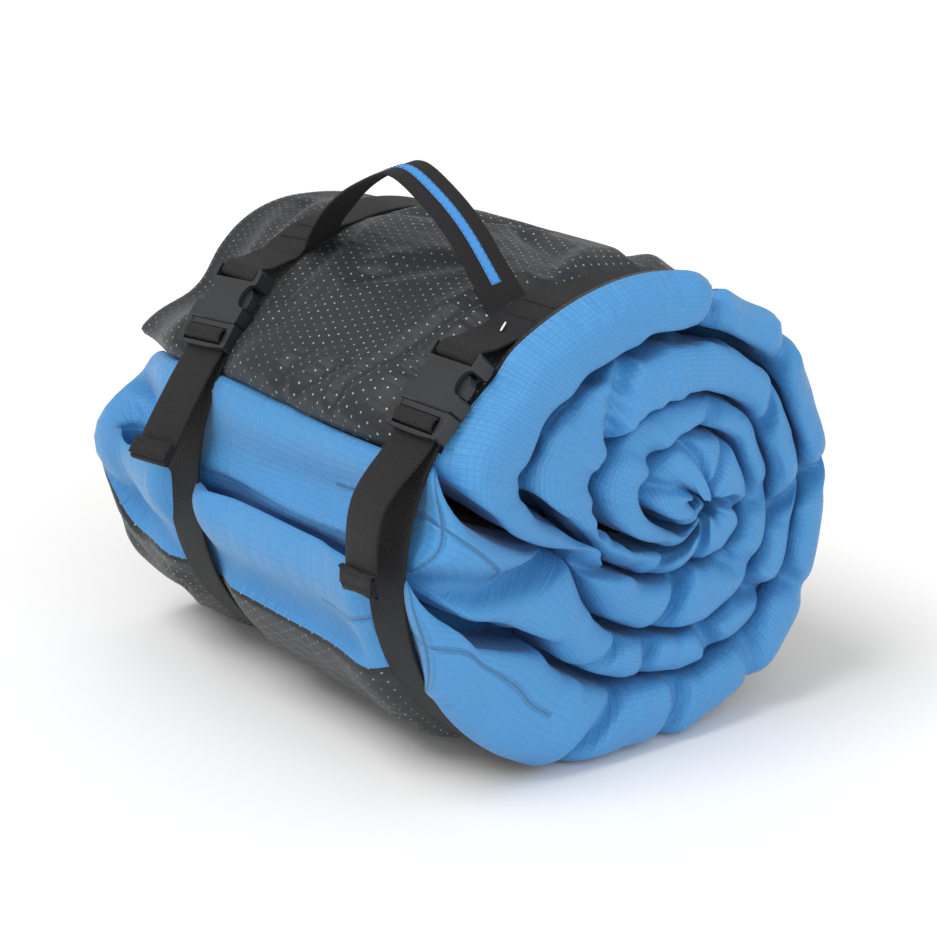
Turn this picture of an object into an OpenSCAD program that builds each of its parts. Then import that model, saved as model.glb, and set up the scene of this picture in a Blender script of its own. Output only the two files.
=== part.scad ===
// Rolled foam sleeping pad: a folded, padded mat rolled up and held by two webbing straps
// with side-release buckles and a carry handle. Millimetres. +X runs along the roll's axis
// towards the open edges of the folded mat, +Z is up, and the origin is on the floor.

/* [Roll] */
// Length of the roll along its axis, half the width of the flat mat
roll_len = 324; // [310:2:340]
// Width of the roll's outline
roll_w = 294; // [280:1:305]
// Height of the roll's outline before its underside is flattened
roll_h = 264; // [255:1:275]
// Depth by which the floor flattens the underside
sink = 5; // [3:1:8]
// Share of the radius that one turn of the folded mat takes up
turn_share = 0.44; // [0.42:0.01:0.45]

/* [Fabric] */
// Thickness of each cover panel with its quilted backing
cover_t = 2; // [1.6:0.1:2.4]
// Thickness of the base cover where the roll rests on the floor
floor_cover_t = 4.6; // [4.2:0.1:5.4]
// Play between neighbouring soft pieces
play = 0.3; // [0.2:0.05:0.4]
// Depth of the lengthwise fold at the far end
fold_depth = 27; // [22:1:32]

/* [Straps] */
// Width of the strap webbing
strap_w = 32; // [30:1:33]
// Thickness of all webbing
web_t = 1.8; // [1.4:0.1:2]
// Places of the two straps along the roll: near one, far one
strap_x = [137, -75]; // [-100:1:140]
// Turn of each strap's plane about the vertical: near one, far one
strap_skew = [2, 9]; // [0:1:10]
// Length of each strap's free tail: near one, far one
tail_len = [80, 66]; // [50:1:110]
// Angle round the roll at which the buckles' mouths sit
buckle_at = 144; // [138:1:148]

/* [Handle] */
// Width of the handle webbing
handle_w = 25; // [22:1:28]
// Height of the handle's crown above its roots
handle_h = 58; // [50:1:80]
// Angle round the roll at which the handle's roots sit
handle_at = 113; // [108:1:116]
// Lean of the handle's arch from the vertical towards the buckles
handle_lean = 8; // [0:1:20]
// Width of the coloured tape along the handle
stripe_w = 6; // [4:1:8]

/* [Buckle] */
// Outer width of the buckle
buckle_w = 42.5; // [42:0.5:45]
// Thickness of the buckle
buckle_t = 11; // [10.8:0.1:11.4]
// Length of the socket from its mouth to its webbing bar
socket_len = 35; // [34.5:0.5:38]
// Clearance between moving buckle parts
clear = 0.4; // [0.3:0.05:0.5]

/* [Hidden] */
$fn = 48;

BLUE = [0.22, 0.52, 0.80];
GREY = [0.24, 0.26, 0.27];
BLACK = [0.06, 0.06, 0.065];
FOAM = [0.88, 0.87, 0.84];
NEAR = 0;
FAR = 1;

semi_y = roll_w / 2;
semi_z = roll_h / 2;
axis_z = semi_z - sink;

// Angles along the rolled mat, in degrees: its outer end lies on the left of the roll.
// All of them start a whole number of steps from tip_at, so that neighbours share corners.
// The inner half's end wall spans tip_at to crease_at, the outer half's crease_at to seam_at.
tip_at = 158;
crease_at = 200;
seam_at = 235;
inner_end_at = 942;
core_share = 0.05;
step = 8;

// ---- outlines of the roll's cross-section ----

// Radius of the flattened oval, inset by d, with its flat side f above the floor
function oval(a, d, f) =
    let (p = semi_y - d, q = semi_z - d,
         r = p * q / sqrt(pow(q * cos(a), 2) + pow(p * sin(a), 2)))
    sin(a) < 0 ? min(r, (axis_z - f) / -sin(a)) : r;

// Smooth step from 0 to 1
function ease(t) = let (c = max(0, min(1, t))) c * c * (3 - 2 * c);

// How far in the spiral has stepped at angle a: 1 on the outside of the roll
function spiral(a) =
    let (turns = (a - tip_at - 360) / 360, whole = floor(turns),
         ramp = (seam_at - tip_at) / 360)
    turns <= 0 ? 1 : 1 - turn_share * (whole + ease((turns - whole) / ramp));

function outer_share(a) = spiral(a);
function inner_share(a) = max(core_share, spiral(a + 360));
function mid_share(a) =
    let (m = (outer_share(a) + inner_share(a)) / 2, blend = ease((a - crease_at) / 40))
    outer_share(a) + (m - outer_share(a)) * blend;

// A radius at angle a: share of the oval, with an inset d on the outermost surface only
function edge(a, share, d) =
    share > 0.999 ? oval(a, d, d > 0 ? max(d, floor_cover_t) : 0)
                  : share * oval(a, 0, 0) - d;

function at(a, r) = [r * cos(a), r * sin(a) + axis_z];

// Cross-section between two radii over a range of angles; side 0 is the inner half of
// the folded mat, side 1 the outer half, side 2 both. lo and hi are insets from each side.
function lower(a, side) = side == 1 ? mid_share(a) : inner_share(a);
function upper(a, side) = side == 0 ? mid_share(a) : outer_share(a);
function band(side, from, to, lo, hi) = concat(
    [for (a = [from : step : to]) at(a, edge(a, upper(a, side), hi))],
    [for (i = [floor((to - from) / step) : -1 : 0])
        let (a = from + i * step) at(a, edge(a, lower(a, side), -lo))]);

// A sheet of thickness t lying d below the upper surface of one side
function under(side, from, to, d, t) = concat(
    [for (a = [from : step : to]) at(a, edge(a, upper(a, side), d))],
    [for (i = [floor((to - from) / step) : -1 : 0])
        let (a = from + i * step) at(a, edge(a, upper(a, side), d + t))]);

// A sheet of thickness t lying d above the lower surface of one side
function over(side, from, to, d, t) = concat(
    [for (a = [from : step : to]) at(a, edge(a, lower(a, side), -d - t))],
    [for (i = [floor((to - from) / step) : -1 : 0])
        let (a = from + i * step) at(a, edge(a, lower(a, side), -d))]);

// Extrudes a cross-section along the roll between two places
module along(x0, x1, points) {
    translate([x0, 0, 0]) rotate([90, 0, 90])
        linear_extrude(x1 - x0) polygon(points);
}

// ---- the folded and rolled mat ----

x_far = -roll_len / 2;
x_near = roll_len / 2;
half_gap = play;
skin = cover_t + 3 * play;
foam_near = x_near - skin;
fold_x = x_far + fold_depth;

module foam_core() color(FOAM) difference() {
    union() {
        along(fold_x - 1, foam_near, band(0, tip_at + 3 * step, inner_end_at - step, skin, skin));
        along(fold_x - 1, foam_near, band(1, tip_at + 9 * step, inner_end_at - step, skin, skin));
        along(x_far + skin, fold_x, band(2, tip_at + 3 * step, inner_end_at - step, skin, skin));
    }
    strap_channels();
}

// The blue top panel faces itself inside the fold
module cover_top() color(BLUE) {
    along(fold_x + play, x_near, under(0, tip_at + 7 * step, inner_end_at, half_gap, cover_t));
    along(fold_x + play, x_near, over(1, tip_at + 8 * step, inner_end_at, half_gap, cover_t));
}

// The grey base panel is the outside of the fold
module cover_base() color(GREY) difference() {
    union() {
        along(x_far, x_near, under(2, tip_at + 10 * step, inner_end_at, 0, cover_t));
        along(x_far, x_near, over(2, tip_at + 2 * step, inner_end_at, half_gap, cover_t));
        along(x_far, x_far + cover_t, band(2, tip_at + 2 * step, inner_end_at, half_gap, 0));
    }
    strap_channels();
}

// The blue side band closes the open edges and the mat's end
module side_gusset() color(BLUE) difference() {
    union() {
        along(x_far + cover_t + play, x_near,
            under(2, tip_at + step, tip_at + 9 * step, 0, cover_t - play));
        along(x_near - cover_t, x_near, band(0, tip_at + 3 * step, inner_end_at, skin, skin));
        along(x_near - cover_t, x_near, band(1, tip_at + 9 * step, inner_end_at, skin, skin));
    }
    strap_channels();
}

// ---- webbing ----

function unit(v) = v / norm(v);
function left_of(v) = [-v[1], v[0]];
// Rounds a polyline's corners by cutting them n times
function soften(p, n) = n == 0 ? p : soften(concat([p[0]],
    [for (i = [0 : len(p) - 2]) each
        [p[i] * 0.75 + p[i + 1] * 0.25, p[i] * 0.25 + p[i + 1] * 0.75]],
    [p[len(p) - 1]]), n - 1);
function heading(p, i) = unit(p[min(i + 1, len(p) - 1)] - p[max(i - 1, 0)]);
// Outline of a ribbon of thickness t that follows a path
function ribbon(p, t) = concat(
    [for (i = [0 : len(p) - 1]) p[i] + left_of(heading(p, i)) * t / 2],
    [for (i = [len(p) - 1 : -1 : 0]) p[i] - left_of(heading(p, i)) * t / 2]);

// Place along the roll of a strap's centre line at distance y from the roll's axis
function strap_along(which, y) = strap_x[which] - y * tan(strap_skew[which]);
// Slants what it holds along the roll, so that a strap lies flat on the roll all the way
module strap_frame(which) {
    multmatrix([[1, -tan(strap_skew[which]), 0, strap_x[which]],
                [0, 1, 0, 0], [0, 0, 1, 0], [0, 0, 0, 1]]) children();
}

// A point of the roll's outline at angle a, the outward normal there, and its lean
function on_oval(a) = at(a, oval(a, 0, -99));
function normal_at(a) = unit([cos(a) / pow(semi_y, 2), sin(a) / pow(semi_z, 2)]);
function lean(a) = let (n = normal_at(a)) atan2(-n[0], n[1]);
// Turn of a strap's direction within the surface at angle a
function turn(which, a) = atan(normal_at(a)[1] * tan(strap_skew[which]));
// Frame on the roll's surface on a strap's centre line: x down the strap, y along the
// roll towards its near end, z outwards
module on_strap(which, a) {
    p = on_oval(a);
    translate([strap_along(which, p[0]), p[0], p[1]])
        rotate([lean(a), 0, 0]) rotate([0, 0, turn(which, a) - 90]) children();
}
// A point of that frame, [down the strap, outwards], as [y, z] in the roll's section
function from_roll(a, q) =
    let (n = normal_at(a), t = left_of(n)) on_oval(a) + t * q[0] + n * q[1];

web_lift = web_t / 2 + 0.3;
// Half the angle that the handle's width takes up on the roll
tab_half = asin(handle_w / roll_w);
// Extra height of a strap where it crosses the handle's ends
function rise(a) = (web_t + 0.3)
    * (1 - ease((abs((a > 360 ? a - 360 : a) - handle_at) - tab_half - 1) / 7));
// The strap's path round the roll, lying on the covers and flush with the floor below
function loop_point(a) =
    let (r = min(oval(a, -web_lift - rise(a), -99),
                 sin(a) < 0 ? (axis_z - web_lift) / -sin(a) : 999))
    at(a, r);

buckle_lift = 0.8;
socket_bar_u = -socket_len + 2;
bar_w = buckle_lift + 5.5;
// The fixed loop runs from under the plug, round the back, to the socket's bar
loop_from = 164;
loop_to = 480;
loop_path = concat([for (a = [loop_from : 4 : loop_to]) loop_point(a)],
    [from_roll(buckle_at, [-52.5, -4.3]), from_roll(buckle_at, [-47, -0.6])]);
// Its end goes over the bar, down through the slot and back under the bar
bar_path = soften([[-52, -4.2], [-42.4, 2.6], [-37.4, 9.4], [-33, 10.7], [-28.9, 10.5],
    [-28.5, 5], [-28.9, 2], [-32.6, 1.9]], 2);

module ribbon_across(points, t, w) {
    translate([-w / 2, 0, 0]) rotate([90, 0, 90]) linear_extrude(w) polygon(ribbon(points, t));
}
// The same in the frame of on_strap, with points as [down the strap, outwards]
module ribbon_along(points, t, w) {
    translate([0, w / 2, 0]) rotate([90, 0, 0]) linear_extrude(w) polygon(ribbon(points, t));
}
module strap_loop(which) color(BLACK) {
    strap_frame(which) ribbon_across(loop_path, web_t, strap_w);
    on_strap(which, buckle_at) ribbon_along(bar_path, web_t, strap_w);
}
// Room for the straps and the handle's ends in the covers and the foam
module strap_channels() for (which = [NEAR, FAR]) strap_frame(which) {
    ribbon_across([for (a = [loop_from - 8 : 4 : loop_to - 4]) loop_point(a)],
        web_t + 0.7, strap_w + 2);
}

// The webbing threaded through the plug, in the plug's frame [down the strap, outwards]
lip_end = 16.4;
thread_path = soften([[33, -1.5], [20, 0.8], [9.5, 1.3], [4.9, 1.6], [4.6, 6.5], [4.9, 12.2],
    [8.2, 12.6], [11.6, 12.2], [11.7, 8], [13, 5.1], [lip_end + 0.4, 4.7]], 3);
module threaded(which) color(BLACK) on_strap(which, buckle_at)
    ribbon_along(thread_path, web_t, strap_w);

// The free tail starts at its bend line below the plug's lip
tail_pivot = [lip_end + 1.6, 4.7];
hem_len = 11;
function tail_path(which) = let (n = tail_len[which]) soften([
    tail_pivot, tail_pivot + [n * 0.3, -0.6], tail_pivot + [n * 0.62, -3],
    tail_pivot + [n - hem_len, -4]], 3);
module tail(which) color(BLACK) on_strap(which, buckle_at)
    ribbon_along(tail_path(which), web_t, strap_w);
// The tail's end is folded twice and sewn, so that it can't slip through the plug
module tail_hem(which) color(BLACK) on_strap(which, buckle_at)
    translate([tail_pivot[0] + tail_len[which] - hem_len + 0.2, -strap_w / 2,
        tail_pivot[1] - 4 - web_t / 2])
        rotate([90, 0, 0]) mirror([0, 0, 1]) linear_extrude(strap_w)
            polygon(hem_outline());
function hem_outline() = let (r = web_t * 1.5) concat(
    [[0, 0], [0, 2 * r]],
    [for (a = [90 : -15 : -90]) [hem_len - r + r * cos(a), r + r * sin(a)]]);

// ---- buckles, in the frame of on_strap: x down the strap, y along the roll, z outwards ----

plate_t = 2.6;
cavity_t = buckle_t - 2 * plate_t;
mouth_half = 17;
window = [-24.4, -10.6];
rail_half = 17;

module buckle_frame(which) {
    on_strap(which, buckle_at) translate([0, 0, buckle_lift]) children();
}

// Plan of the socket: full width at its mouth, waisted at the finger windows, with horns
function socket_side() = concat(
    [[0, buckle_w / 2 - 1.5], [-1.5, buckle_w / 2], [window[1] + 2, buckle_w / 2]],
    [for (a = [0 : 12 : 180])
        [(window[0] + window[1]) / 2 + cos(a) * (window[1] - window[0] + 1) / 2,
         buckle_w / 2 - 0.8 - 7 * pow(sin(a), 0.8)]],
    [[window[0] - 3, buckle_w / 2], [-socket_len + 2, buckle_w / 2 - 0.6],
     [-socket_len, buckle_w / 2 - 3]]);
function both_sides(p) =
    concat(p, [for (i = [len(p) - 1 : -1 : 0]) [p[i][0], -p[i][1]]]);

module socket() color(BLACK) difference() {
    linear_extrude(buckle_t) polygon(both_sides(socket_side()));
    // opening at the mouth, then the wider room for the prongs
    translate([-26, -mouth_half, plate_t]) cube([27, 2 * mouth_half, cavity_t]);
    translate([window[0], -buckle_w, plate_t])
        cube([window[1] - window[0], 2 * buckle_w, cavity_t]);
    // webbing slot and the recess over its bar
    translate([-31, -rail_half, -1]) cube([4.2, 2 * rail_half, buckle_t + 2]);
    translate([-41, -rail_half, bar_w - buckle_lift + 2]) cube([11, 2 * rail_half, 9]);
    translate([-41, -rail_half, -1]) cube([11, 2 * rail_half, bar_w - buckle_lift - 1]);
    // slanted lead-in along the mouth's upper edge
    translate([0, 0, buckle_t]) rotate([0, 45, 0]) cube([1.2, 2 * buckle_w, 1.2], center = true);
}

function lip_outline() = concat([[13.9, -rail_half - 1], [13.9, rail_half + 1]],
    [for (a = [60 : -10 : -60]) [lip_end - 3.6 + 3.6 * cos(a), buckle_w / 2 * sin(a) / sin(60)]]);
module plug() color(BLACK) {
    // header that closes the socket's mouth
    translate([clear, -buckle_w / 2, 0.6]) cube([3.2, buckle_w, buckle_t - 1.6]);
    difference() {
        union() {
            for (side = [-1, 1]) hull() {
                translate([clear + 1, side * (rail_half + buckle_w / 2) / 2, 0.6])
                    cylinder(d = buckle_w / 2 - rail_half, h = buckle_t - 1.2);
                translate([lip_end - 3, side * (rail_half + buckle_w / 2) / 2, 1.6])
                    cylinder(d = buckle_w / 2 - rail_half, h = buckle_t - 3);
            }
            // lip bowed outwards at the lower end
            translate([0, 0, 6.1]) linear_extrude(3.4) polygon(lip_outline());
            // bar that grips the webbing
            translate([6.5, -rail_half - 1, 4]) cube([3.6, 2 * rail_half + 2, 5.2]);
        }
        translate([-10, -buckle_w, -1]) cube([10 + clear, 2 * buckle_w, buckle_t + 2]);
    }
    // centre guide that enters the socket
    translate([-21, -2.4, plate_t + 0.5]) cube([22, 4.8, cavity_t - 1]);
}

// One springy prong of the plug, on side 1 (front, towards the near end) or -1
prong_pivot = [0, 13.4];
prong_plan = [[-0.2, 15.2], [-10.4, 16], [-11, 17], [-11, 19.4], [-14.5, 20.1], [-18.5, 19.8],
    [-22, 17.8], [-24.9, 13.4], [-25.2, 11], [-23.4, 9.8], [-17, 11.2], [-10.8, 12.6],
    [-0.2, 11.6]];
module prong(side) color(BLACK)
    translate([0, 0, plate_t + 0.4]) linear_extrude(cavity_t - 0.8)
        polygon([for (q = prong_plan) [q[0], side * q[1]]]);

// ---- handle ----

root_p = on_oval(handle_at);
root_lift = web_t + 2.4;
root_gap = [1.2, 2.8];
near_root = strap_along(NEAR, root_p[0]) - strap_w / 2 - root_gap[NEAR];
far_root = strap_along(FAR, root_p[0]) + strap_w / 2 + root_gap[FAR];
root_mid = (near_root + far_root) / 2;
// The arch, as [along the roll, up] from the roots' line
function arch() = let (n = near_root - root_mid, f = far_root - root_mid, h = handle_h) soften([
    [f, 0], [f + 8, h * 0.18], [f + 36, h * 0.68], [-15, h * 0.99], [0, h * 1.06],
    [15, h * 0.99], [n - 36, h * 0.68], [n - 8, h * 0.18], [n, 0]], 3);
module handle_place() {
    translate([root_mid, root_p[0], root_p[1] + root_lift])
        rotate([90 + handle_lean, 0, 0]) children();
}
module handle() color(BLACK) handle_place()
    translate([0, 0, -handle_w / 2]) linear_extrude(handle_w) polygon(ribbon(arch(), web_t));
stripe_t = 0.5;
module stripe() color(BLUE) handle_place()
    translate([0, 0, -stripe_w / 2]) linear_extrude(stripe_w)
        polygon(ribbon([for (i = [6 : len(arch()) - 7])
            arch()[i] + left_of(heading(arch(), i)) * (web_t / 2 + stripe_t / 2 + 0.05)],
            stripe_t));

// The handle's ends lie flat between the straps and the roll and are sewn there
module handle_tab(which) color(BLACK) strap_frame(which)
    ribbon_across([for (i = [-2 : 2])
        let (a = handle_at + i * tab_half / 2) at(a, oval(a, -web_lift - 0.1, -99))],
        web_t, strap_w);
bartack_t = 0.6;
module bartack(which, a, d, len) on_strap(which, a)
    translate([-0.9, -len / 2, d]) cube([1.8, len, bartack_t]);
tack_d = web_lift + web_t * 1.5 + 0.75;
module handle_bartacks() color(BLACK) for (which = [NEAR, FAR])
    for (a = [handle_at - tab_half + 1.4, handle_at + tab_half - 3])
        bartack(which, a, tack_d, strap_w - 6);
module near_strap_bartack() color("white") on_strap(NEAR, handle_at + 7)
    translate([-3.5, -3, tack_d + 0.2]) rotate([0, 0, 25]) cube([7, 2.2, bartack_t]);
module hem_bartack(which) color(BLACK) on_strap(which, buckle_at)
        translate([tail_pivot[0] + tail_len[which] - hem_len + 2, -strap_w / 2 + 3,
            tail_pivot[1] - 4 - web_t / 2 + 3 * web_t + 0.05])
            cube([1.4, strap_w - 6, bartack_t]);

foam_core();
cover_top();
cover_base();
side_gusset();
strap_loop(NEAR);  // near_strap
strap_loop(FAR);  // far_strap
threaded(NEAR);  // near_strap_threaded
threaded(FAR);  // far_strap_threaded
tail(NEAR);  // near_strap_tail
tail(FAR);  // far_strap_tail
tail_hem(NEAR);  // near_tail_hem
tail_hem(FAR);  // far_tail_hem
buckle_frame(NEAR) socket();  // near_buckle_socket
buckle_frame(FAR) socket();  // far_buckle_socket
buckle_frame(NEAR) plug();  // near_buckle_plug
buckle_frame(FAR) plug();  // far_buckle_plug
buckle_frame(NEAR) prong(1);  // near_prong_front
buckle_frame(NEAR) prong(-1);  // near_prong_rear
buckle_frame(FAR) prong(1);  // far_prong_front
buckle_frame(FAR) prong(-1);  // far_prong_rear
handle();  // handle_webbing
stripe();  // handle_stripe
handle_tab(NEAR);  // handle_near_tab
handle_tab(FAR);  // handle_far_tab
handle_bartacks();
near_strap_bartack();
hem_bartack(NEAR);  // near_hem_bartack
hem_bartack(FAR);  // far_hem_bartack
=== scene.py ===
import bpy, math
import numpy as np
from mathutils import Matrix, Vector


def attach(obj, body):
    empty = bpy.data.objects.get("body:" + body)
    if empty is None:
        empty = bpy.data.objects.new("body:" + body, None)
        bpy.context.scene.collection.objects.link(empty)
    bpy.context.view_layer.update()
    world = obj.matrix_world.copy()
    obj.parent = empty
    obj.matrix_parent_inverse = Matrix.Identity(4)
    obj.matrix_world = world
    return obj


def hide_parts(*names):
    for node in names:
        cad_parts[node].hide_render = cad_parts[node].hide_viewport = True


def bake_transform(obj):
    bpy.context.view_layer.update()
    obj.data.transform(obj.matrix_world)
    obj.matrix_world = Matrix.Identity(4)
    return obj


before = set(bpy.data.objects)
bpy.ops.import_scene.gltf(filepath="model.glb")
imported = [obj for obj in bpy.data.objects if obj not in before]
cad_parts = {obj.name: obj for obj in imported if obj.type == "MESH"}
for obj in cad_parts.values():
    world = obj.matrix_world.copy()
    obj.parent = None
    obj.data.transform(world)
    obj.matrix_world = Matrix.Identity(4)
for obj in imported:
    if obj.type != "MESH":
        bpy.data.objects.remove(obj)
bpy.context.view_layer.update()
MM = 0.001                                  # everything below is worked out in mm
rng = np.random.default_rng(7)

# ---------------------------------------------------------------- the roll's main sizes
# Angles are in degrees round the roll's axis, from the right and over the top, seen from the
# near end. They grow past 360 as the mat winds inwards, one turn for every 360.
SEMI_Y, SEMI_Z, AXIS_Z = 147.0, 132.0, 127.0
TIP, CREASE, SEAM = 153.0, 177.0, 203.0     # angles of the mat's outer end on the roll's left
CORE = (46.0, 6.0)                          # how far the rolled core sits from the outline's middle
RAMP = 30.0                                 # angle over which an inner turn dives under the outer end
LAST = 1000.0                               # angle where the mat ends, in the core
NEAR_X, FOLD_X = 158.0, -131.0              # the open edges, and the centre of the lengthwise fold
BAND_H = 56.0                               # width of the side band's cloth
STRAP = {"near": (137.0, 2.0), "far": (-75.0, 9.0)}     # place along the roll, and skew in degrees
STRAP_W, WEB_T = 32.0, 1.8
HANDLE_W, HANDLE_H = 25.0, 58.0
BUCKLE_AT, HANDLE_AT = 144.0, 113.0         # angles of the buckles' middle and of the handle's roots
FLOOR_GAP = 0.3                             # how far the cloth stays above the floor
OUTER, FOLD, INNER = 0, 1, 2                # the mat's outer half, its lengthwise fold, its inner half

def ease(t):
    t = np.clip(t, 0, 1)
    return t * t * (3 - 2 * t)

def bell(deg, at, width):
    d = (deg - at + 180) % 360 - 180
    return np.exp(-(d / width) ** 2)

def wave(deg, at, amount):
    return amount * np.cos(np.radians(deg - at))

def oval(deg, d=0.0, floor=0.0):
    """Radius of the flattened oval, inset by d, its flat underside at height floor."""
    a = np.radians(deg)
    p, q = SEMI_Y - d, SEMI_Z - d
    r = p * q / np.sqrt((q * np.cos(a)) ** 2 + (p * np.sin(a)) ** 2)
    s = np.sin(a)
    flat = (AXIS_Z - floor) / np.maximum(-s, 1e-6)
    return np.where(s < -0.05, np.minimum(r, flat), r)

def share_out(deg):
    """Share of the outline's radius at which the rolled mat's outside lies."""
    a = deg - TIP - 360
    turn = 0.455 + wave(deg, 350, 0.05)
    third = 0.13 * (1 - ease((a - 430) / 60)) + 0.012
    return 1 - ease(a / RAMP) * (1 - turn) - ease((a - 360) / 70.0) * (turn - third)

def share_in(deg):
    return share_out(deg + 360.0)

def share_mid(deg):
    """Where the two halves of the folded mat meet."""
    o = share_out(deg)
    i = share_in(deg)
    part = 0.52 + wave(deg, 250, 0.14)      # the lower side gives the outer half more room
    m = o - (o - i) * part
    return o + (m - o) * ease((deg - CREASE) / 38.0)

def strap_x(name, y):
    x0, skew = STRAP[name]
    return x0 - y * math.tan(math.radians(skew))

def swell(x, y):
    """How far the padding stands out of the straps' grip at a place on the roll's outside."""
    reach, height = 13.0, 6.5
    g = np.ones_like(x)
    for n in STRAP:
        d = np.maximum(0, np.abs(x - strap_x(n, y)) - STRAP_W / 2)
        g = g * (1 - np.exp(-(d / reach) ** 2))
    ends = 1 - 0.5 * ease((-x - 100) / 60)
    return height * g * ends

# ---------------------------------------------------------------- creases
# The creases that radiate from the core: half of the mat, angle at the crease between the
# halves, angle at the grey side, half width in degrees, depth in mm
PINCHES = [
    (OUTER, 430, 427, 2.4, 13), (OUTER, 397, 400, 2.6, 10), (OUTER, 362, 368, 2.6, 17),
    (OUTER, 333, 336, 3.4, 6), (OUTER, 310, 307, 3.0, 7), (OUTER, 277, 279, 2.4, 10),
    (OUTER, 253, 247, 2.2, 11), (INNER, 181, 179, 3.2, 20), (INNER, 236, 241, 3.4, 5),
    (INNER, 264, 257, 3.4, 9), (INNER, 300, 290, 4.5, 9), (INNER, 329, 318, 4.0, 12),
    (INNER, 366, 352, 3.6, 11), (INNER, 396, 388, 3.6, 9), (INNER, 463, 496, 3.8, 14)]

def core_pinches(n=12, first=556, step=29.0):
    """Small random creases on both halves where the mat winds into the core."""
    at = first + np.arange(n) * step + rng.uniform(-11, 11, n)
    lean = rng.uniform(-26, 26, n)
    width = rng.uniform(4, 9, n)
    depth = rng.uniform(4, 12, n)
    return [((OUTER, INNER)[k % 2], at[k], at[k] + lean[k], width[k], depth[k]) for k in range(n)]

PINCHES = PINCHES + core_pinches()

# Creases in the outside cloth: a line of (place, angle) points, half width and depth in mm
FOLDS = [
    ([(124, 100), (104, 119), (90, 138), (76, 152)], 5.0, 5.5),
    ([(34, 138), (30, 154)], 4.0, 4.5),
    ([(66, 141), (52, 147), (38, 153)], 4.5, 5.0),
    ([(-44, 104), (-30, 118), (-22, 134)], 8.0, 4.0),
    ([(14, 121), (40, 111), (70, 101)], 9.0, 3.5),
    ([(-30, 152), (-12, 141), (2, 126)], 6.0, 2.5),
    ([(112, 98), (84, 86), (40, 80)], 9.0, 4.5),
    ([(-50, 92), (-10, 84), (30, 72)], 10.0, 4.0),
    ([(108, 70), (60, 58), (0, 52)], 9.0, 4.0),
    ([(-40, 50), (30, 40), (100, 30)], 10.0, 4.0),
    ([(-96, 120), (-116, 104), (-140, 90)], 7.0, 5.0),
    ([(-98, 84), (-130, 70)], 8.0, 5.0),
    ([(100, 14), (40, 4), (-30, -4)], 10.0, 4.0),
    ([(-98, 30), (-136, 12)], 8.0, 5.0),
    ([(104, 222), (50, 228), (-20, 224)], 9.0, 3.5),
    ([(-98, 212), (-134, 222)], 7.0, 4.5)]

def folds(x, deg):
    """Depth of the outside cloth's creases: sharp valleys with a soft lip on either side."""
    mm_per_deg, deepen = 2.4, 1.35
    d = np.zeros_like(x)
    g = (deg + 60) % 360 - 60
    for line, width, depth in FOLDS:
        best = np.full(x.shape, 1e9)
        n = len(line) - 1
        for k, ((xa, da), (xb, db)) in enumerate(zip(line[:-1], line[1:])):
            ux, ud = xb - xa, (db - da) * mm_per_deg
            px, pd = x - xa, (g - da) * mm_per_deg
            t = np.clip((px * ux + pd * ud) / (ux * ux + ud * ud), 0, 1)
            dist = np.hypot(px - t * ux, pd - t * ud)
            taper = 0.25 + 0.75 * np.sin(np.pi * (0.12 + 0.76 * (k + t) / n))
            best = np.minimum(best, dist / (width * taper))
        lip = 0.35 * np.exp(-((best - 2.0) / 0.9) ** 2)
        d = d + deepen * depth * (np.exp(-best ** 2) - lip)
    return d

def pinch(kind, t, deg):
    """How far the creases draw a half's rim in, t of the way from the halves' crease to the grey."""
    d = np.zeros_like(deg)
    for half, at_crease, at_grey, width, depth in PINCHES:
        at = at_crease + (at_grey - at_crease) * t
        d = d + np.where(kind == half, depth * np.exp(-((deg - at) / width) ** 2), 0.0)
    return d

# ---------------------------------------------------------------- the folded and rolled mat
def near_draw(deg):
    """How much the near end draws in: mostly on the right, its rim in flats between creases."""
    draw = 0.135 * bell(deg, 6, 40) + 0.05 * bell(deg, 318, 30) + 0.03 * bell(deg, 270, 30)
    for at in (40, 8, 335, 313, 279):
        draw = draw - 0.028 * bell(deg, at, 7)
    return draw + 0.02 * bell(deg, 24, 10) + 0.02 * bell(deg, 352, 9) + 0.02 * bell(deg, 60, 14)

def far_draw(deg):
    """How much the far end is tucked in, most of all above the mat's end."""
    return 0.06 + 0.25 * bell(deg, 136, 24) + 0.05 * bell(deg, 90, 35) + 0.045 * bell(deg, 184, 34)

def rim_puff(deg, x):
    """The near rim puffs out over the near strap, except beside the buckle and the tail."""
    start = 157 - 6 * ease((deg - 186) / 12) * (1 - ease((deg - 482) / 12))
    height = (6 + 6 * bell(deg, 80, 38)) * (1 - 0.7 * bell(deg, 5, 45))
    on_floor = np.sin(np.radians(deg)) < -0.93
    return height * ease((x - start) / 9) * np.where(on_floor, 0.3, 1)

def section(deg, x, share, is_outer, puff=0.0):
    """Point of the roll at angle deg, place x and share of the radius; the core sits off centre."""
    a = np.radians(deg)
    y0 = oval(deg) * np.cos(a)
    r = np.where(is_outer, oval(deg, -swell(x, y0), FLOOR_GAP), share * oval(deg, 3.0, 3.0))
    r = r + puff * rim_puff(deg, x)
    r = r - np.where(is_outer, folds(x, deg), 0.0)
    r = r * (1 - ease((x - 144) / 22) * near_draw(deg))
    far = ease((-x - 66) / 92)
    r = r * (1 - far * far_draw(deg))
    off = np.where(is_outer, 0.0, 1 - share)
    y = r * np.cos(a) + CORE[0] * off
    z = r * np.sin(a) + AXIS_Z + CORE[1] * off
    low = is_outer & (np.sin(a) < -0.3)
    z = np.where(low, np.maximum(z - far * 0.06 * SEMI_Z, FLOOR_GAP), z)
    return y, z

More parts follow.
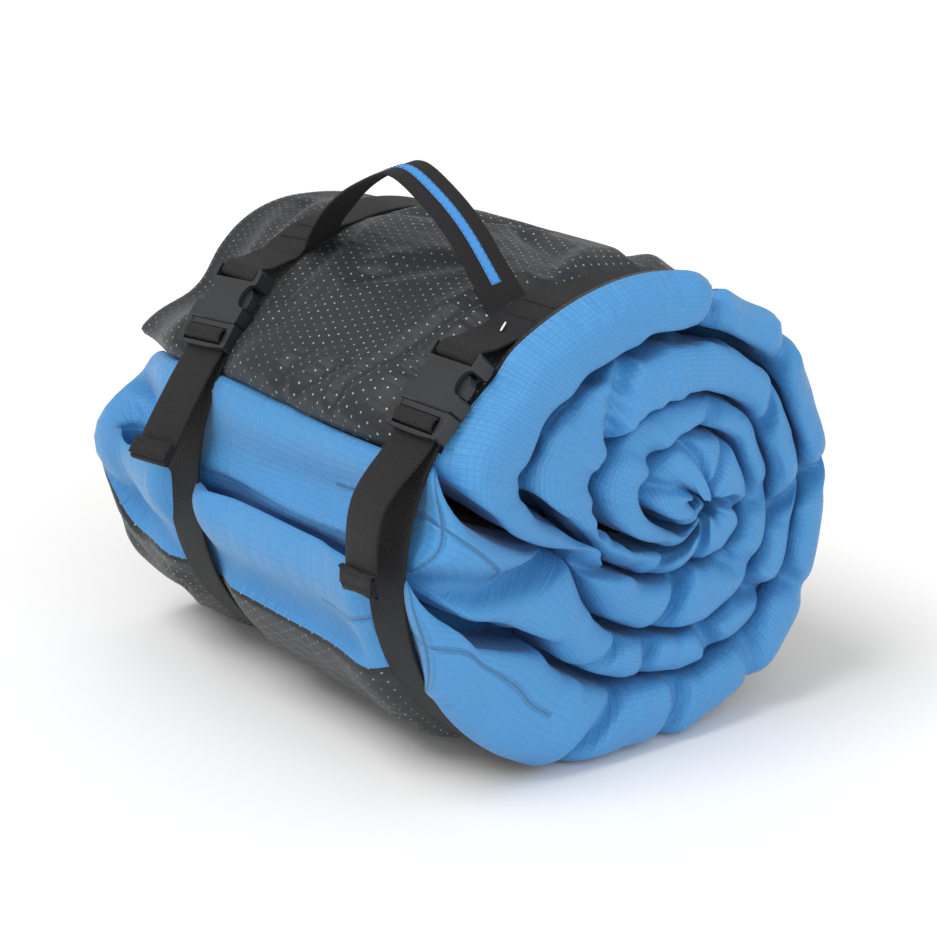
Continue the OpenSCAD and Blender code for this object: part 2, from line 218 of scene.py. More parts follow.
def place(kind, val, t, deg):
    """A point of the mat: val is x on either half, and the angle round the lengthwise fold."""
    o, m, i = share_out(deg), share_mid(deg), share_in(deg)
    hb, ha = o - m, m - i
    gap = 0.006
    th = np.where(kind == FOLD, val, np.where(kind == OUTER, 0.0, math.pi))
    c, s = np.cos(th), np.sin(th)
    h = hb * (1 + c) / 2 + ha * (1 - c) / 2
    rt = gap + t * np.maximum(h - 2 * gap, 0.0)
    x = np.where(kind == FOLD, FOLD_X - rt * 140.0 * s * 0.9, val)
    share = m + rt * c
    outer = (o > 0.995) & (t > 0.99) & (c > 0.2)
    rim = ease((x - NEAR_X + 34) / 30) * np.where(kind == FOLD, 0, 1)
    x = x + rim * (5 * bell(deg, 95, 48) - 3 * bell(deg, 150, 18) - pinch(kind, t, deg))
    puff = np.where((o > 0.995) & (kind == OUTER), t, 0.0)
    puff = puff + np.where((kind == INNER) & (deg < CREASE), 1 - t, 0.0)
    y, z = section(deg, x, share, outer, puff)
    # the inner half's outer corner flops out towards the near strap
    flap = np.where(kind == INNER, ease((x - 158) / 8) * ease((194 - deg) / 24), 0.0)
    return np.stack([x + 5 * flap, y - 11 * flap, z - 3 * flap], -1)

def start_shift(kind, val, t):
    """The mat's end is sloped: how far, in degrees, the cloth at t starts from the crease."""
    th = np.where(kind == FOLD, val, np.where(kind == OUTER, 0.0, math.pi))
    c = np.cos(th)
    return t * c * np.where(c > 0, SEAM - CREASE, CREASE - TIP)

def quads_between(row_a, row_b):
    """Faces between two closed rows of vertices."""
    n = len(row_a)
    return [[row_a[m], row_a[(m + 1) % n], row_b[(m + 1) % n], row_b[m]] for m in range(n)]

def mat_grid():
    """The mat's grid: kind and value across its width, angle along its length."""
    near = np.arange(0, 46, 5.0)
    outer = list(NEAR_X - near) + list(np.linspace(NEAR_X - 52, FOLD_X, 35))
    fold = list(np.linspace(0, math.pi, 11)[1:-1])
    inner = list(np.linspace(FOLD_X, NEAR_X - 60, 13)) + list(NEAR_X - near[::-1])
    kinds = np.array([OUTER] * len(outer) + [FOLD] * len(fold) + [INNER] * len(inner))
    base = np.concatenate([np.arange(CREASE, 516, 2.2), np.arange(516, 556, 2.0),
                           np.arange(556, 880, 4.0), np.arange(880, LAST, 8.0)])
    return kinds, np.array(outer + fold + inner), base

def start_fade(base):
    return np.clip(1 - (base - CREASE) / 90.0, 0, 1) ** 2

def band_row(kinds, vals, base, rim, height, k, rows):
    """Row k of the side band: a half round wall between the two covers' rims."""
    ri, rj = rim
    kr, vr, br = kinds[ri], vals[ri], base[rj]
    al = math.pi * k / rows
    t = np.full(len(ri), (1 + math.cos(al)) / 2)
    deg = br + start_shift(kr, vr, t) * start_fade(br)
    p = place(kr, vr, t, deg)
    a = np.radians(deg)
    at_side = (ri == 0) | (ri == len(kinds) - 1)
    side_push = np.where(at_side, 0.46 * np.minimum(height, 46), 0.0)
    side_push = np.where(at_side & (rj == 0), side_push * 0.8, side_push)
    side_push = side_push * (1 - 0.035 * np.minimum(pinch(kr, t, deg), 20))
    # the mat's outer end is thinner at the far side and plump at the near corners
    plump = np.where(kr == INNER, 15.0, 9.0) * ease((p[:, 0] - 157) / 8)
    end_push = np.where(rj == 0, 9.0 - 4 * ease((-p[:, 0] - 90) / 40) + plump, 0.0)
    p[:, 0] += side_push * math.sin(al)
    p[:, 1] += end_push * math.sin(al) * np.cos(a)
    p[:, 2] += end_push * math.sin(al) * np.sin(a)
    return p

def build_mat(rows=8):
    """Vertices, faces, materials (0 grey, 1 blue cover, 2 side band), weave UVs and layout."""
    kinds, vals, base = mat_grid()
    nu, ns = len(kinds), len(base)
    K, B = np.meshgrid(kinds, base, indexing="ij")
    V, _ = np.meshgrid(vals, base, indexing="ij")

    def layer(t):
        T = np.full(K.shape, t)
        return place(K, V, T, B + start_shift(K, V, T) * start_fade(B))
    top, bot = layer(1.0), layer(0.0)
    # distances along the cloth, for the weave
    sm = np.concatenate([[0], np.cumsum(np.linalg.norm(np.diff(top[0], axis=0), axis=-1))])
    um = np.concatenate([[0], np.cumsum(np.linalg.norm(np.diff(top[:, 40], axis=0), axis=-1))])
    faces, mats, uvs = [], [], []

    def vertex(side, i, j):
        return side * nu * ns + i * ns + j
    for side in (0, 1):
        for i in range(nu - 1):
            for j in range(ns - 1):
                steps = [(i, j), (i, j + 1), (i + 1, j + 1), (i + 1, j)]
                if side == 0:
                    steps.reverse()
                faces.append([vertex(side, a, b) for a, b in steps])
                uvs.append([(um[a], sm[b]) for a, b in steps])
                # inside the roll the band's cloth reaches a little way down between the turns
                hidden = base[j] > 510 or kinds[i] == INNER
                by_rim = vals[i] > NEAR_X - 34 and kinds[i] != FOLD
                mats.append(1 if side == 0 and hidden and by_rim else side)
    # the side band round the mat's rim
    rim = [(0, j) for j in range(ns)] + [(i, ns - 1) for i in range(1, nu)]
    rim += [(nu - 1, j) for j in range(ns - 2, -1, -1)] + [(i, 0) for i in range(nu - 2, 0, -1)]
    ri = np.array([r[0] for r in rim])
    rj = np.array([r[1] for r in rim])
    height = np.linalg.norm(top[ri, rj] - bot[ri, rj], axis=-1)
    band = [band_row(kinds, vals, base, (ri, rj), height, k, rows) for k in range(1, rows)]
    first, nr = 2 * nu * ns, len(rim)
    rim_rows = [[vertex(0, i, j) for i, j in rim]]
    rim_rows += [list(range(first + k * nr, first + (k + 1) * nr)) for k in range(rows - 1)]
    rim_rows += [[vertex(1, i, j) for i, j in rim]]
    ring = np.concatenate([top[ri, rj], top[ri[:1], rj[:1]]])
    pm = np.concatenate([[0], np.cumsum(np.linalg.norm(np.diff(ring, axis=0), axis=-1))])
    dv = BAND_H / rows
    for k in range(rows):
        faces += quads_between(rim_rows[k], rim_rows[k + 1])
        for m in range(nr):
            v0, v1 = k * dv, k * dv + dv
            uvs.append([(pm[m], v0), (pm[m + 1], v0), (pm[m + 1], v1), (pm[m], v1)])
            mats.append(2)
    # the rim's length up to the inner half's outer corner, and all round
    corner = float(pm[ns - 1 + nu - 1 + ns - 1])
    info = {"corner": corner, "rim_len": float(pm[-1]), "rim": rim, "kinds": kinds,
            "base": base, "rim_rows": rim_rows, "band_start": first}
    points = np.concatenate([top.reshape(-1, 3), bot.reshape(-1, 3)] + band)
    return points, faces, mats, uvs, info

def get_floats(items, field, size):
    """One float field of a mesh's vertices, edges or faces, as rows of the given size."""
    flat = np.empty(len(items) * size, np.float32)
    items.foreach_get(field, flat)
    return flat.reshape(-1, size)

def get_ints(items, field, size):
    flat = np.empty(len(items) * size, np.int32)
    items.foreach_get(field, flat)
    return flat.reshape(-1, size)

def set_points(mesh, points):
    mesh.vertices.foreach_set("co", (points * MM).astype(np.float32).ravel())
    mesh.update()

def mesh_object(name, points, faces, mats=None, uvs=None, smooth=None):
    """A mesh from points in mm; uvs is one list of corners per face, in mm on the cloth."""
    me = bpy.data.meshes.new(name)
    me.from_pydata([tuple(v) for v in np.asarray(points) * MM], [], faces)
    if mats is not None:
        me.polygons.foreach_set("material_index", np.array(mats, dtype=np.int32))
    if uvs is not None:
        layer = me.uv_layers.new(name="weave")
        layer.data.foreach_set("uv", np.array([c for f in uvs for c in f], np.float32).ravel())
    if smooth is None:
        smooth = np.ones(len(me.polygons), bool)
    me.polygons.foreach_set("use_smooth", smooth)
    me.update()
    o = bpy.data.objects.new(name, me)
    bpy.context.scene.collection.objects.link(o)
    return o

# ---------------------------------------------------------------- the cloth simulation
def gripped(points):
    """Which points the straps hold, and every point's distance from the axis and limit there."""
    y, z = points[:, 1], points[:, 2] - AXIS_Z
    r = np.hypot(y, z)
    ro = oval(np.degrees(np.arctan2(z, y)) % 360)
    held = np.zeros(len(points), bool)
    for n in STRAP:
        band = np.abs(points[:, 0] - strap_x(n, y)) < STRAP_W / 2 - 1.0
        held |= band & (r > ro - 9)
    return held, r, ro

def free_cloth(points, info):
    """The cloth that shows: the near end, the outside, the folded end and the mat's outer end."""
    x = points[:, 0]
    n0 = info["band_start"] // 2
    kind = np.repeat(info["kinds"], len(info["base"]))
    deg = np.tile(info["base"], len(info["kinds"]))
    free = x > NEAR_X - 44
    free[:n0] |= (kind == OUTER) & (deg < 520)
    free[:n0] |= (kind == FOLD) | (x[:n0] < -105)
    free[:n0] |= deg < CREASE + 24
    free[n0:2 * n0] |= deg < CREASE + 10
    last = len(info["kinds"]) - 1
    edge = np.array([j == 0 or i in (0, last) for i, j in info["rim"]])
    free[info["band_start"]:] |= np.tile(edge, len(info["rim_rows"]) - 2)
    return free

def averaged(values, edges, turns, hold=None):
    """Each vertex's values averaged with its neighbours' a few times; held vertices stay at 0."""
    n = len(values)
    count = np.maximum(np.bincount(edges.ravel(), minlength=n), 1)
    a, b = edges[:, 0], edges[:, 1]
    for _ in range(turns):
        for k in range(values.shape[1]):
            column = values[:, k]
            near = (np.bincount(a, column[b], n) + np.bincount(b, column[a], n)) / count
            column = 0.5 * column + 0.5 * near
            values[:, k] = column if hold is None else np.where(hold, 0.0, column)
    return values

def add_cloth(o, frames):
    c = o.modifiers.new("cloth", "CLOTH")
    s = c.settings
    s.quality = 5
    s.mass = 0.2
    s.tension_stiffness = s.compression_stiffness = 15
    s.shear_stiffness = 4
    s.bending_stiffness = 1.5
    s.tension_damping = s.compression_damping = 8
    s.air_damping = 2
    s.use_pressure = True
    s.uniform_pressure_force = 3.0
    s.vertex_group_mass = "hold"
    s.shrink_min = -0.03
    s.effector_weights.gravity = 0
    hits = c.collision_settings
    hits.use_collision = False
    hits.use_self_collision = True
    hits.self_distance_min = 0.0014
    hits.self_friction = 4
    hits.collision_quality = 2
    hits.vertex_group_self_collisions = "deep"
    c.point_cache.frame_start, c.point_cache.frame_end = 1, frames
    return c

def blunt(x, at, depth):
    """Rounds off what stands further out than at, to no more than depth beyond it."""
    return np.where(x * np.sign(at) > abs(at), at + depth * np.tanh((x - at) / depth), x)

def simulate(o, info, frames=18):
    """Puffs the mat up with air pressure while the straps and the buried cloth hold it."""
    me, scene = o.data, bpy.context.scene
    P = get_floats(me.vertices, "co", 3).astype(float) / MM
    held, r, ro = gripped(P)
    free = free_cloth(P, info)
    # under the straps the cloth lies just inside the webbing
    lim = ro - 0.6
    scale = np.where(held & (r > lim), lim / r, 1.0)
    P[:, 1] *= scale
    P[:, 2] = (P[:, 2] - AXIS_Z) * scale + AXIS_Z
    hold = (~free) | held | (P[:, 2] < 1.0)
    set_points(me, P)
    for name, chosen in (("hold", hold), ("deep", ~free)):
        o.vertex_groups.new(name=name).add([int(i) for i in np.nonzero(chosen)[0]], 1.0, "REPLACE")
    cloth = add_cloth(o, frames)
    for f in range(1, frames + 1):
        scene.frame_set(f)
    ev = o.evaluated_get(bpy.context.evaluated_depsgraph_get())
    D = get_floats(ev.to_mesh().vertices, "co", 3).astype(float) / MM - P
    ev.to_mesh_clear()
    o.modifiers.remove(cloth)
    scene.frame_set(1)
    length, cap = np.linalg.norm(D, axis=1), 14.0
    D *= (np.minimum(length, cap) / np.maximum(length, 1e-6))[:, None]
    # the grey cloth is stiffer than the blue, so only the simulation's broad swells stay in it
    edges = get_ints(me.edges, "vertices", 2)
    grey_part = np.zeros((len(P), 3))
    grey_part[:info["band_start"] // 2] = 1
    grey_part = averaged(grey_part, edges, 4)
    soft, stiff = averaged(D.copy(), edges, 3, hold), averaged(D.copy(), edges, 14, hold)
    P += 0.85 * soft * (1 - grey_part) + 0.9 * stiff * grey_part
    P[:, 2] = np.maximum(P[:, 2], FLOOR_GAP)
    P[:, 0] = blunt(blunt(P[:, 0], 166, 14), -166, 12)
    set_points(me, P)

def seam_grooves(o, info, depth=1.1):
    """Draws the cloth in along the seams where the side band is sewn to the two covers."""
    P = get_floats(o.data.vertices, "co", 3) / MM
    normals = get_floats(o.data.vertex_normals, "vector", 3)
    for row in (info["rim_rows"][0], info["rim_rows"][-1]):
        P[row] -= normals[row] * depth
    P[:, 2] = np.maximum(P[:, 2], FLOOR_GAP)
    set_points(o.data, P)

def split_by_material(o, names):
    """The smoothed mat as one object for each cloth."""
    sub = o.modifiers.new("smooth", "SUBSURF")
    sub.levels = sub.render_levels = 1
    ev = o.evaluated_get(bpy.context.evaluated_depsgraph_get())
    me = ev.to_mesh()
    P = get_floats(me.vertices, "co", 3) / MM
    quads = get_ints(me.loops, "vertex_index", 1).reshape(-1, 4)
    material = get_ints(me.polygons, "material_index", 1).ravel()
    uv = get_floats(me.uv_layers["weave"].data, "uv", 2).reshape(-1, 4, 2)
    ev.to_mesh_clear()
    made = []
    for m, name in enumerate(names):
        used, flat = np.unique(quads[material == m].ravel(), return_inverse=True)
        faces = flat.reshape(-1, 4).tolist()
        made.append(mesh_object(name, P[used], faces, None, uv[material == m]))
    bpy.data.objects.remove(o)
    return made

*MAT, INFO = build_mat()
mat_ob = mesh_object("mat", *MAT)
simulate(mat_ob, INFO)
seam_grooves(mat_ob, INFO)
grey_cover, blue_cover, blue_band = split_by_material(
    mat_ob, ["base_cover", "top_cover", "side_band"])

# ---------------------------------------------------------------- webbing and thread
def norm(v):
    return v / np.maximum(np.linalg.norm(v, axis=-1, keepdims=True), 1e-9)

def soften(p, n=2):
    """Rounds a polyline's corners off, n times."""
    p = np.array(p, float)
    for _ in range(n):
        q = np.empty((2 * (len(p) - 1) + 2, p.shape[1]))
        q[0], q[-1] = p[0], p[-1]
        q[1:-1:2] = p[:-1] * 0.75 + p[1:] * 0.25
        q[2:-1:2] = p[:-1] * 0.25 + p[1:] * 0.75
        p = q
    return p

def resample(p, step):
    """The same polyline with points about a step apart."""
    d = np.concatenate([[0], np.cumsum(np.linalg.norm(np.diff(p, axis=0), axis=1))])
    t = np.linspace(0, d[-1], max(3, int(d[-1] / step) + 1))
    return np.stack([np.interp(t, d, p[:, k]) for k in range(p.shape[1])], -1)

def tangents(p):
    t = np.empty_like(p)
    t[1:-1] = p[2:] - p[:-2]
    t[0], t[-1] = p[1] - p[0], p[-1] - p[-2]
    return norm(t)

def square_to(width_dir, tangent):
    return norm(width_dir - (width_dir * tangent).sum(-1, keepdims=True) * tangent)

def ribbon_profile(width, thick):
    """Outline of a band's cross section: across the band, and out of it."""
    h, e = width / 2, thick / 2
    turn = (math.pi / 4, 0, -math.pi / 4)
    top = [(w, e) for w in np.linspace(-h + e, h - e, 7)]
    right = [(h - e + e * math.cos(a), e * math.sin(a)) for a in turn]
    low = [(w, -e) for w in np.linspace(h - e, -h + e, 4)]
    left = [(-(h - e) - e * math.cos(a), e * math.sin(a)) for a in reversed(turn)]
    return np.array(top + right + low + left)

def ribbon(name, line, width_dir, width, thick=WEB_T):
    """A band along a line, its width along width_dir, with rounded edges and UVs in mm."""
    T = tangents(line)
    W = square_to(width_dir, T)
    N = np.cross(T, W)
    prof = ribbon_profile(width, thick)
    m, n = len(prof), len(line)
    P = line[:, None] + W[:, None] * prof[None, :, :1] + N[:, None] * prof[None, :, 1:]
    s = np.concatenate([[0], np.cumsum(np.linalg.norm(np.diff(line, axis=0), axis=1))])
    u = prof[:, 0] + width / 2
    faces, uvs = [], []
    for i in range(n - 1):
        for k in range(m):
            corners = [(i + 1, k), (i + 1, (k + 1) % m), (i, (k + 1) % m), (i, k)]
            faces.append([a * m + b for a, b in corners])
            uvs.append([(u[b], s[a]) for a, b in corners])
    for i, order in ((0, 1), (n - 1, -1)):
        ks = list(range(m))[::order]
        faces.append([i * m + k for k in ks])
        uvs.append([(u[k], s[i]) for k in ks])
    smooth = np.ones(len(faces), bool)
    smooth[-2:] = False                     # the two cut ends
    return mesh_object(name, P.reshape(-1, 3), faces, None, uvs, smooth)

def tubes(name, paths, r, sides=6):
    """Threads: a thin tube along each path, with rounded ends."""
    P, faces, base = [], [], 0
    ang = np.arange(sides) / sides * 2 * math.pi
    for p in paths:
        p = np.array(p, float)
        T = tangents(p)
        ref = np.where(np.abs(T[:, :1]) < 0.8, [[1.0, 0, 0]], [[0, 1.0, 0]])
        A = norm(np.cross(T, ref))
        B = np.cross(T, A)
        size = np.full(len(p), float(r))
        size[0] = size[-1] = 0.35 * r
        spoke = A[:, None] * np.cos(ang)[None, :, None] + B[:, None] * np.sin(ang)[None, :, None]
        P.append((p[:, None] + size[:, None, None] * spoke).reshape(-1, 3))
        for i in range(len(p) - 1):
            a, b = base + i * sides, base + (i + 1) * sides
            for j in range(sides):
                j2 = (j + 1) % sides
                faces.append([a + j, b + j, b + j2, a + j2])
        last = base + (len(p) - 1) * sides
        faces.append([base + j for j in range(sides)])
        faces.append([last + j for j in range(sides)][::-1])
        base += len(p) * sides
    return mesh_object(name, np.concatenate(P), faces)

# ---------------------------------------------------------------- places on the roll
def normal_at(a):
    n = np.array([math.cos(math.radians(a)) / SEMI_Y ** 2, math.sin(math.radians(a)) / SEMI_Z ** 2])
    return n / np.hypot(*n)

def on_oval(a):
    r = float(oval(a, 0.0, -99.0))
    return np.array([r * math.cos(math.radians(a)), r * math.sin(math.radians(a)) + AXIS_Z])

def strap_axes(which, a):
    """Origin on the roll under a strap's centre line, then: down the strap, along the roll, outwards."""
    p, n = on_oval(a), normal_at(a)
    ln = math.atan2(-n[0], n[1])
    tn = math.atan(n[1] * math.tan(math.radians(STRAP[which][1])))
    c, s = math.cos(ln), math.sin(ln)
    down = np.array([math.sin(tn), -math.cos(tn) * c, -math.cos(tn) * s])
    along = np.array([math.cos(tn), math.sin(tn) * c, math.sin(tn) * s])
    out = np.array([0.0, -s, c])
    return np.array([strap_x(which, p[0]), p[0], p[1]]), down, along, out

def at_buckle(which, pts):
    """Points given from the buckle's middle, down the strap and outwards."""
    o, down, along, out = strap_axes(which, BUCKLE_AT)
    pts = np.array(pts, float)
    return o + pts[:, :1] * down + pts[:, 1:2] * out

# ---------------------------------------------------------------- straps
LIFT = WEB_T / 2 + 0.3                      # from the roll to the middle of the webbing
TAB_HALF = math.degrees(math.asin(HANDLE_W / (2 * SEMI_Y)))
PLY = WEB_T * 1.06                          # from layer to layer in a folded hem
HEM = 11.0
# Paths from each buckle's middle, as (down the strap, outwards): the webbing round the socket's
# bar, the webbing threaded through the plug, and the free tails
BAR = [[-37.4, 9.4], [-33, 10.7], [-28.9, 10.5], [-28.5, 5], [-28.9, 2], [-34.6, 1.9]]
UNDER = [[36, -2.6], [26, -0.6], [16, 0.9], [9.5, 1.3], [4.9, 1.6], [4.6, 6.5], [4.9, 12.2],
         [8.2, 12.6], [11.6, 12.2], [11.8, 8], [12.6, 5.8]]
TAIL = {"near": [[12.2, 6.6], [13.4, 5.1], [18, 5.0], [30, 6.0], [43, 7.6], [55, 7.4],
                 [66, 3.0], [77, -5.0], [87, -13.6]],
        "far": [[12.2, 6.6], [13.4, 5.1], [18, 4.8], [32, 4.9], [48, 3.6], [62, 2.2], [74.5, 0.6]]}
TAIL_SWAY = {"near": 3.0, "far": 1.0}       # how far the tail's end hangs towards the far end
TAIL_TWIST = {"near": 0.16, "far": -0.05}   # radians

def rise(a):
    """The loop lies higher where the handle's ends are tucked under it."""
    b = a - 360 if a > 360 else a
    return (WEB_T + 0.3) * (1 - float(ease((abs(b - HANDLE_AT) - TAB_HALF - 1) / 7)))

def strap_point(which, a):
    r = float(oval(a, -LIFT - rise(a), -99.0))
    sa = math.sin(math.radians(a))
    if sa < 0:
        r = min(r, (AXIS_Z - LIFT) / -sa)
    y = r * math.cos(math.radians(a))
    return [float(strap_x(which, y)), y, r * sa + AXIS_Z]

def loop_line(which):
    """From under the plug, round the back and over the socket's bar."""
    ring = [strap_point(which, a) for a in np.arange(151, 482, 3.0)]
    ends = at_buckle(which, [[-52, -4.2], [-42.4, 2.6]] + BAR)
    return resample(soften(np.concatenate([ring, ends]), 3), 1.6)

def make_loop(which):
    line = loop_line(which)
    o = ribbon(which + "_loop", line, np.tile([1.0, 0, 0], (len(line), 1)), STRAP_W)
    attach(o, "roll")
    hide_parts(which + "_strap")
    return o

def make_threaded(which):
    along = strap_axes(which, BUCKLE_AT)[2]
    line = resample(at_buckle(which, soften(UNDER, 3)), 0.8)
    o = ribbon(which + "_threaded", line, np.tile(along, (len(line), 1)), STRAP_W)
    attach(o, which + "_plug")
    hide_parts(which + "_strap_threaded")
    return o

def make_tail(which):
    """A free tail with its end folded twice, and the stitches through the fold."""
    o, down, along, out = strap_axes(which, BUCKLE_AT)
    p = soften(TAIL[which], 3)
    end, d = p[-1], p[-1] - p[-2]
    d = d / np.hypot(*d)
    n = np.array([-d[1], d[0]])
    fold = [end + d * HEM, end + d * (HEM + 1.3) + n * 0.5 * PLY, end + d * HEM + n * PLY,
            end + d * 1.4 + n * PLY, end + d * 0.2 + n * 1.5 * PLY, end + d * 1.4 + n * 2 * PLY,
            end + d * (HEM - 0.6) + n * 2 * PLY]
    q = resample(np.concatenate([p, soften(fold, 2)]), 0.8)
    along_tail = ease((q[:, 0] - 22) / 60)
    line = at_buckle(which, q) - along * (TAIL_SWAY[which] * along_tail)[:, None]
    twist = TAIL_TWIST[which] * along_tail
    W = along[None] * np.cos(twist)[:, None] + out[None] * np.sin(twist)[:, None]
    tail = ribbon(which + "_tail_web", line, W, STRAP_W)
    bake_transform(tail)
    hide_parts(which + "_strap_tail", which + "_tail_hem", which + "_hem_bartack")

    across = norm(W[-1])
    up = np.cross(down * d[0] + out * d[1], across)
    rows = []
    for back in (2.4, HEM - 2.2):
        c = at_buckle(which, [end + d * back + n * (2.5 * PLY + 0.05)])[0]
        c = c - along * TAIL_SWAY[which] * along_tail[-1]
        for v in np.arange(-STRAP_W / 2 + 2.5, STRAP_W / 2 - 2.6, 2.6):
            rows.append([c + across * v, c + across * (v + 0.9) + up * 0.22, c + across * (v + 1.8)])
    stitches = tubes(which + "_hem_stitches", rows, 0.26)
    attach(stitches, which + "_tail")
    return tail, stitches

WEBBING, BLACK_STITCHES = [], []
for which in STRAP:
    WEBBING += [make_loop(which), make_threaded(which)]
    tail, stitches = make_tail(which)
    WEBBING.append(tail)
    BLACK_STITCHES.append(stitches)

# ---------------------------------------------------------------- handle
ROOT_YZ, ROOT_N = on_oval(HANDLE_AT), normal_at(HANDLE_AT)
LEAN = math.radians(8.0)                    # how far the handle leans to the roll's left
UP = np.array([0, -math.sin(LEAN), math.cos(LEAN)])
OUT = np.array([0, *ROOT_N])
ROOT = np.array([0, *ROOT_YZ])
NEAR_EDGE = float(strap_x("near", ROOT_YZ[0])) - STRAP_W / 2 - 1.2   # where the handle leaves a strap
FAR_EDGE = float(strap_x("far", ROOT_YZ[0])) + STRAP_W / 2 + 2.8
MID_X, HALF = (NEAR_EDGE + FAR_EDGE) / 2, (NEAR_EDGE - FAR_EDGE) / 2

def handle_line():
    """From under the far strap, over the arch and under the near strap."""
    def tab(x, lift):
        return ROOT + OUT * lift + np.array([x, 0, 0])

    def arch(u, v):
        return ROOT + OUT * 4.2 + UP * v + np.array([MID_X + u, 0, 0])
    tucked = [(31, 1.2), (14, 1.2), (5, 1.6), (0.4, 2.9)]
    far_rise = [(2.2, 2.8), (8.5, HANDLE_H * 0.19), (38, HANDLE_H * 0.64)]
    crest = [(-8, HANDLE_H * 0.97), (7, HANDLE_H * 1.06), (22, HANDLE_H * 0.99)]
    near_rise = [(32, HANDLE_H * 0.68), (8.5, HANDLE_H * 0.19), (2.2, 2.8)]
    line = [tab(FAR_EDGE - d, lift) for d, lift in tucked]
    line += [arch(-HALF + d, v) for d, v in far_rise] + [arch(u, v) for u, v in crest]
    line += [arch(HALF - d, v) for d, v in near_rise]
    line += [tab(NEAR_EDGE + d, lift) for d, lift in reversed(tucked)]
    return resample(soften(line, 3), 1.5)

def make_handle():
    """The handle's webbing, the tape along it and the tape's two rows of stitches."""
    line = handle_line()
    height = (line - ROOT) @ UP
    k = ease((height - 3) / 26)[:, None]
    flat = np.array([0, ROOT_N[1], -ROOT_N[0]])
    level = np.array([0, math.cos(LEAN), math.sin(LEAN)])
    W = norm(flat * (1 - k) + level * k)
    webbing = ribbon("handle_web", line, W, HANDLE_W)
    on = height > 13
    top = line[on]
    T = tangents(top)
    Wt = square_to(W[on], T)
    N = np.cross(T, Wt)
    tape = ribbon("handle_tape", top + N * (WEB_T / 2 + 0.12), Wt, 6.0, 0.5)
    rows = []
    for side in (-2.3, 2.3):
        seam = resample(top + N * (WEB_T / 2 + 0.42) + Wt * side, 1.3)
        rows += [seam[i:i + 3] for i in range(0, len(seam) - 2, 3)]
    stitches = tubes("tape_stitches", rows, 0.16, 5)
    for o in (webbing, tape, stitches):
        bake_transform(o)
    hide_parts("handle_webbing", "handle_near_tab", "handle_far_tab")
    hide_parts("handle_stripe")
    return webbing, tape, stitches

handle, tape, tape_stitches = make_handle()

# ---------------------------------------------------------------- bars of stitches
def zigzag(which, a, lift, length, width, turn_deg, n, oval_ends=False):
    """A bartack's thread, lying on a strap at angle a."""
    o, down, along, out = strap_axes(which, a)
    c, s = math.cos(math.radians(turn_deg)), math.sin(math.radians(turn_deg))
    L, S = along * c + down * s, down * c - along * s
    line = []
    for i in range(n + 1):
        t = i / n * 2 - 1
        w = width / 2 * (math.sqrt(max(0.03, 1 - t * t)) if oval_ends else 1)
        line.append(o + out * lift + L * t * length / 2 + S * w * (1 if i % 2 else -1))
    return soften(line, 1)

def make_handle_tacks():
    """Two bars across each strap and a seam along each edge of the handle's tucked end."""
    lift = LIFT + WEB_T * 1.5 + 0.35
    paths = []
    for which in STRAP:
        for a in (HANDLE_AT - TAB_HALF + 1.4, HANDLE_AT + TAB_HALF - 2.6):
            paths.append(zigzag(which, a, lift, STRAP_W - 7, 1.7, 0, 44))
        ends = [strap_axes(which, HANDLE_AT + q) for q in (-TAB_HALF + 1.6, TAB_HALF - 2.8)]
        for side in (-12, 12):
            line = np.linspace(*[o + out * lift + along * side for o, down, along, out in ends], 13)
            paths += [line[i:i + 2] for i in range(0, 12, 2)]
    o = tubes("handle_tacks", paths, 0.24, 5)
    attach(o, "roll")
    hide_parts("handle_bartacks")
    return o

def make_white_tack():
    """A short slanted bar of white stitches on the near strap, beside the handle's end."""
    at = HANDLE_AT + 7
    o, down, along, out = strap_axes("near", at)
    from_o = loop_line("near") - o
    lift = float(max(from_o[np.linalg.norm(from_o, axis=1) < 8] @ out)) + WEB_T / 2 + 0.2
    tack = tubes("white_tack", [zigzag("near", at, lift, 7.5, 2.6, 65, 34, True)], 0.3, 6)
    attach(tack, "roll")
    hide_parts("near_strap_bartack")
    return tack

BLACK_STITCHES += [make_handle_tacks(), tape_stitches]
white_tack = make_white_tack()

